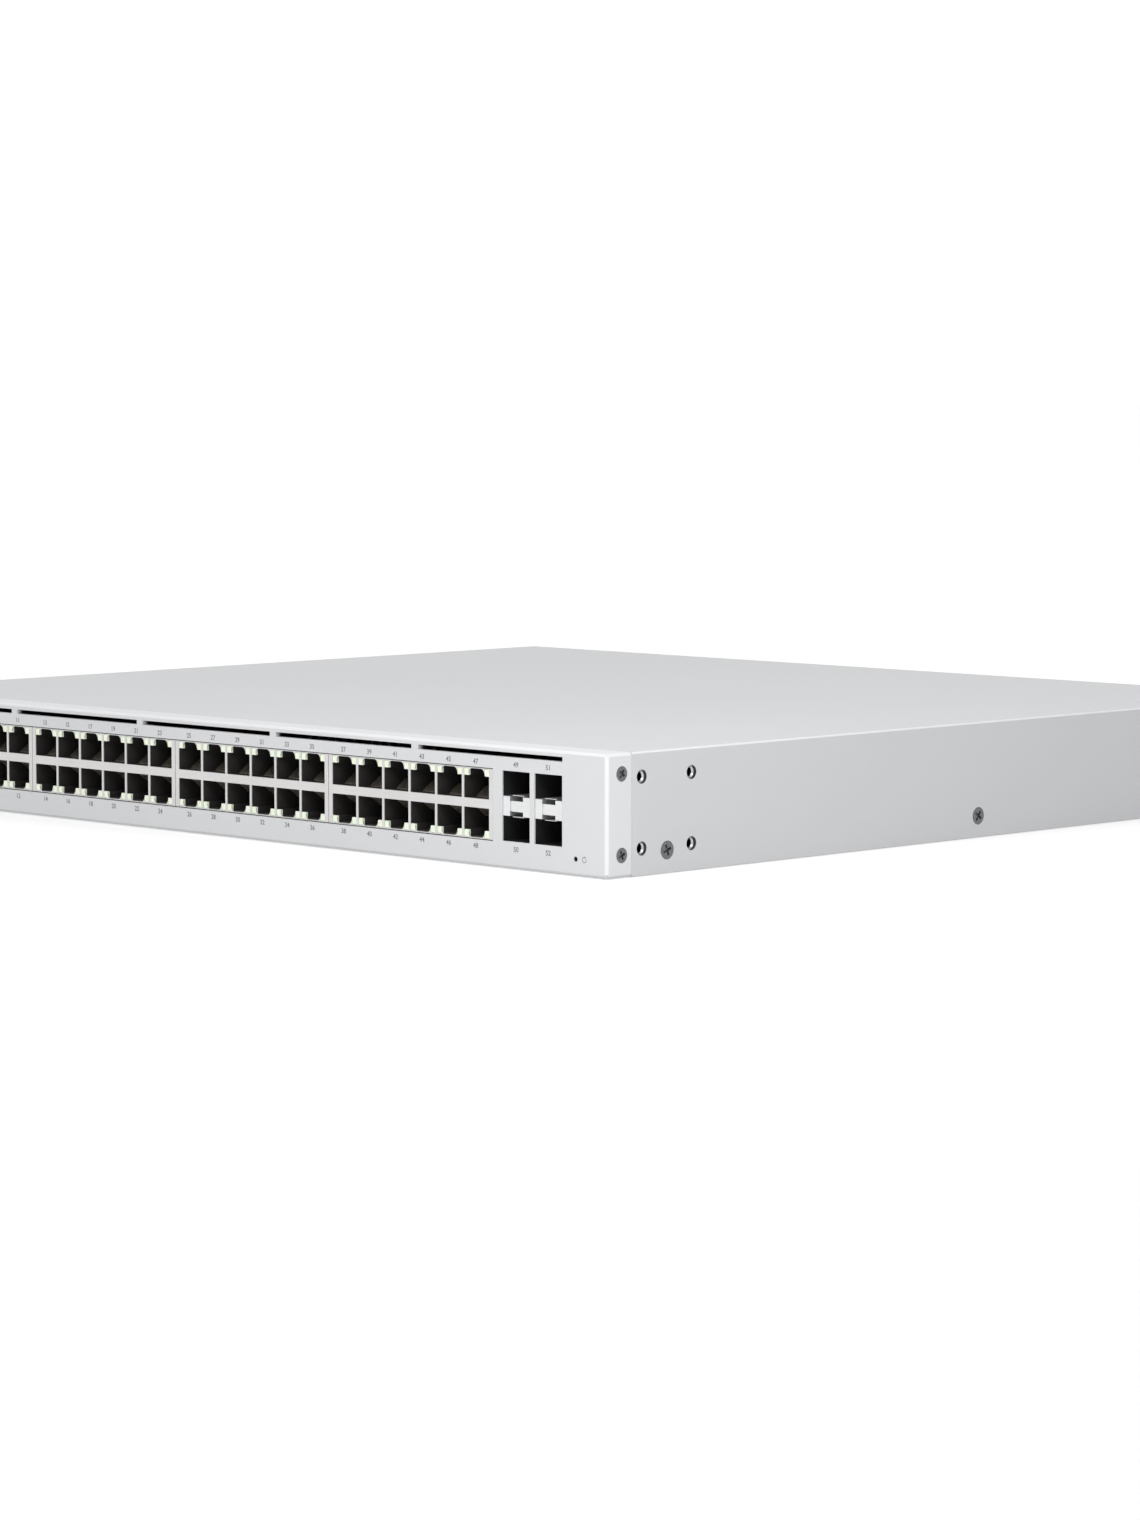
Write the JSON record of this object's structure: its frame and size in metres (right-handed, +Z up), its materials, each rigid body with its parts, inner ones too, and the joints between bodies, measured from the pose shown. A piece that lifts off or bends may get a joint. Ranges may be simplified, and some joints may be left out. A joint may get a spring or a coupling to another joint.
{
  "type": "rackmount network switch",
  "caption": "Low, wide rackmount network switch: rows of RJ45 ports, stacked SFP ports and a small display in a pale metal case with rear fans and a mains inlet.",
  "frame": {"origin": "centre of the bottom face, on the surface that the switch rests on", "axes": "+Z up, the port side faces -Y, +X to the right when looking at the ports"},
  "size_m": [0.4424, 0.3998, 0.044],
  "materials": {
    "bezel_paint": "satin powder coat",
    "cover_paint": "satin powder coat",
    "sheet_steel": "satin powder coat on steel",
    "dark_screw": "black oxide",
    "zinc_steel": "zinc plated",
    "jack_shell": "tin plated sheet",
    "black_plastic": "moulded, matte",
    "light_guide": "translucent, unlit",
    "contact_gold": "gold plated",
    "sfp_steel": "nickel plated sheet",
    "cage_steel": "blackened sheet",
    "display_black": "black printed glass",
    "button_grey": "moulded",
    "board_laminate": "solder mask",
    "insulator_film": "film",
    "chip_epoxy": "moulded epoxy",
    "heatsink_alu": "extruded",
    "capacitor_can": "sleeved aluminium can",
    "ferrite": "ceramic ferrite",
    "winding_tape": "polyester tape",
    "fan_plastic": "moulded",
    "grille_steel": "satin powder coat on steel",
    "copper": "enamelled wire",
    "lead_jacket": "insulated lead",
    "pin_nickel": "nickel plated brass"
  },
  "bodies": {
    "chassis": {"base_tray": "sheet_steel", "bezel_screws": "dark_screw", "board_headers": "black_plastic", "board_inductors": "chip_epoxy", "board_screws": "zinc_steel", "bulk_capacitors": "capacitor_can", "cover_screws": "dark_screw", "display_glass": "display_black", "display_holder": "black_plastic", "display_module": "black_plastic", "ear_nuts": "zinc_steel", "fan_frame_1": "fan_plastic", "fan_frame_2": "fan_plastic", "fan_frame_3": "fan_plastic", "fan_guards": "grille_steel", "fan_leads": "lead_jacket", "fan_screws": "zinc_steel", "fan_stators": "copper", "front_bezel": "bezel_paint", "ground_screw": "zinc_steel", "inlet_pins": "pin_nickel", "inner_front": "sheet_steel", "insulator_sheet": "insulator_film", "jack_contacts": "contact_gold", "jack_housing_1": "black_plastic", "jack_housing_2": "black_plastic", "jack_housing_3": "black_plastic", "jack_housing_4": "black_plastic", "jack_lights": "light_guide", "jack_shield_1": "jack_shell", "jack_shield_2": "jack_shell", "jack_shield_3": "jack_shell", "jack_shield_4": "jack_shell", "main_board": "board_laminate", "mains_choke": "ferrite", "mains_inlet": "black_plastic", "phy_chips": "chip_epoxy", "phy_heatsinks": "heatsink_alu", "power_board": "board_laminate", "power_heatsinks": "heatsink_alu", "power_leads": "lead_jacket", "rear_panel": "sheet_steel", "rear_screws": "zinc_steel", "reset_switch": "black_plastic", "sfp_cage": "cage_steel", "sfp_connectors": "black_plastic", "sfp_divider": "sfp_steel", "sfp_latch_tabs": "sfp_steel", "small_capacitors": "capacitor_can", "small_chips": "chip_epoxy", "standoffs": "zinc_steel", "switch_chip": "chip_epoxy", "switch_heatsink": "heatsink_alu", "top_cover": "cover_paint", "transformer_core": "ferrite", "transformer_winding": "winding_tape"},
    "reset_button": {"reset_plunger": "button_grey"},
    "rotor_1": {"fan_rotor_1": "fan_plastic"},
    "rotor_2": {"fan_rotor_2": "fan_plastic"},
    "rotor_3": {"fan_rotor_3": "fan_plastic"}
  },
  "joints": [
    {"name": "reset_press", "type": "slide", "parent": "chassis", "child": "reset_button", "axis": [0, 1, 0], "range_m": [0, 0.00035], "stiffness_N_per_m": 1500},
    {"name": "fan_1_spin", "type": "hinge", "parent": "chassis", "child": "rotor_1", "pos_m": [-0.15, 0.1843, 0.0219], "axis": [0, 1, 0], "continuous": true},
    {"name": "fan_2_spin", "type": "hinge", "parent": "chassis", "child": "rotor_2", "pos_m": [-0.06, 0.1843, 0.0219], "axis": [0, 1, 0], "continuous": true},
    {"name": "fan_3_spin", "type": "hinge", "parent": "chassis", "child": "rotor_3", "pos_m": [0.03, 0.1843, 0.0219], "axis": [0, 1, 0], "continuous": true}
  ]
}
